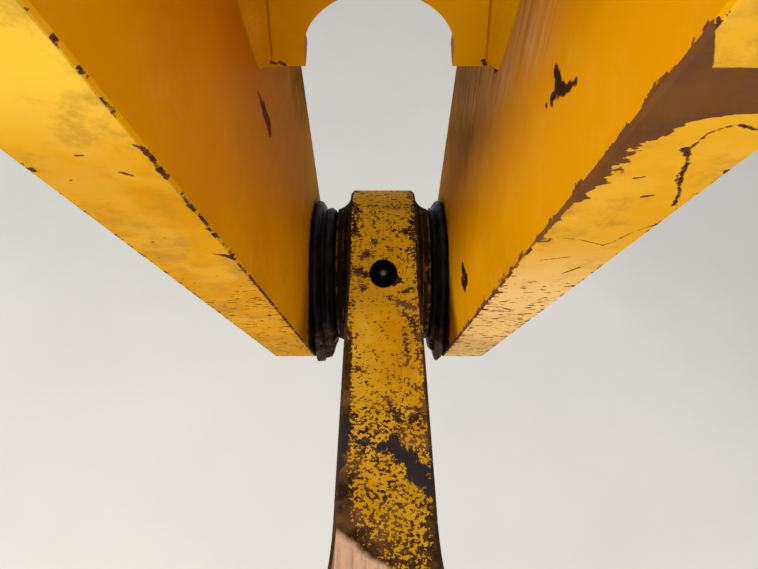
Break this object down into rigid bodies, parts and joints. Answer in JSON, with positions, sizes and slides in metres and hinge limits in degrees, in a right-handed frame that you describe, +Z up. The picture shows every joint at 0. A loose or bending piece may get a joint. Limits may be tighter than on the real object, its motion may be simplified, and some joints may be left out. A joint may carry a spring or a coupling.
{
  "type": "wheel loader bell crank and bucket link",
  "caption": "Double-plate bell crank of a loader's bucket linkage, with webs, a hub and an upper fork, and a bucket link hinged on the pin at its lower end.",
  "frame": {"origin": "middle of the main pivot bore, half-way between the lever's plates", "axes": "+X along the pins towards the right-hand plate, +Y to the machine's rear, +Z up with the link as in the picture"},
  "size_m": [0.3075, 0.7164, 1.2423],
  "materials": {
    "lever_paint": "worn gloss paint over steel plate, chipped to rust at the edges",
    "link_paint": "worn gloss paint, heavily chipped to dark rust",
    "bare_steel": "ground pin steel, lightly rusted ends",
    "bushing_steel": "machined steel, greased",
    "greased_steel": "steel under black grease",
    "seal_rubber": "greasy black rubber",
    "zinc_steel": "zinc plated, dulled"
  },
  "bodies": {
    "lever": {"plate_left": "lever_paint", "plate_right": "lever_paint", "lower_web": "lever_paint", "upper_web": "lever_paint", "hub_tube": "lever_paint", "rod_boss_left": "lever_paint", "rod_boss_right": "lever_paint", "link_retainer_boss": "lever_paint", "pivot_retainer_boss": "lever_paint", "rod_retainer_boss": "lever_paint", "pin_flag": "lever_paint", "flag_bolt": "zinc_steel", "link_pin": "bare_steel", "hub_bushing_left": "bushing_steel", "hub_bushing_right": "bushing_steel", "hub_seal_left": "seal_rubber", "hub_seal_right": "seal_rubber", "link_collar_left": "greased_steel", "link_collar_right": "greased_steel", "link_shim_left": "greased_steel", "link_seal_ring_left": "seal_rubber", "link_seal_ring_right": "seal_rubber", "hub_grease_fitting": "zinc_steel"},
    "link": {"link_bar": "link_paint", "link_bushing_rear": "bushing_steel", "link_bushing_front": "bushing_steel", "link_seal_left": "seal_rubber", "link_seal_right": "seal_rubber", "link_grease_fitting_rear": "zinc_steel", "link_grease_fitting_front": "zinc_steel"}
  },
  "joints": [
    {"name": "link_hinge", "type": "hinge", "parent": "lever", "child": "link", "pos_m": [0, 0.08307, -0.61441], "axis": [1, 0, 0], "range_deg": [-15, 75]}
  ]
}
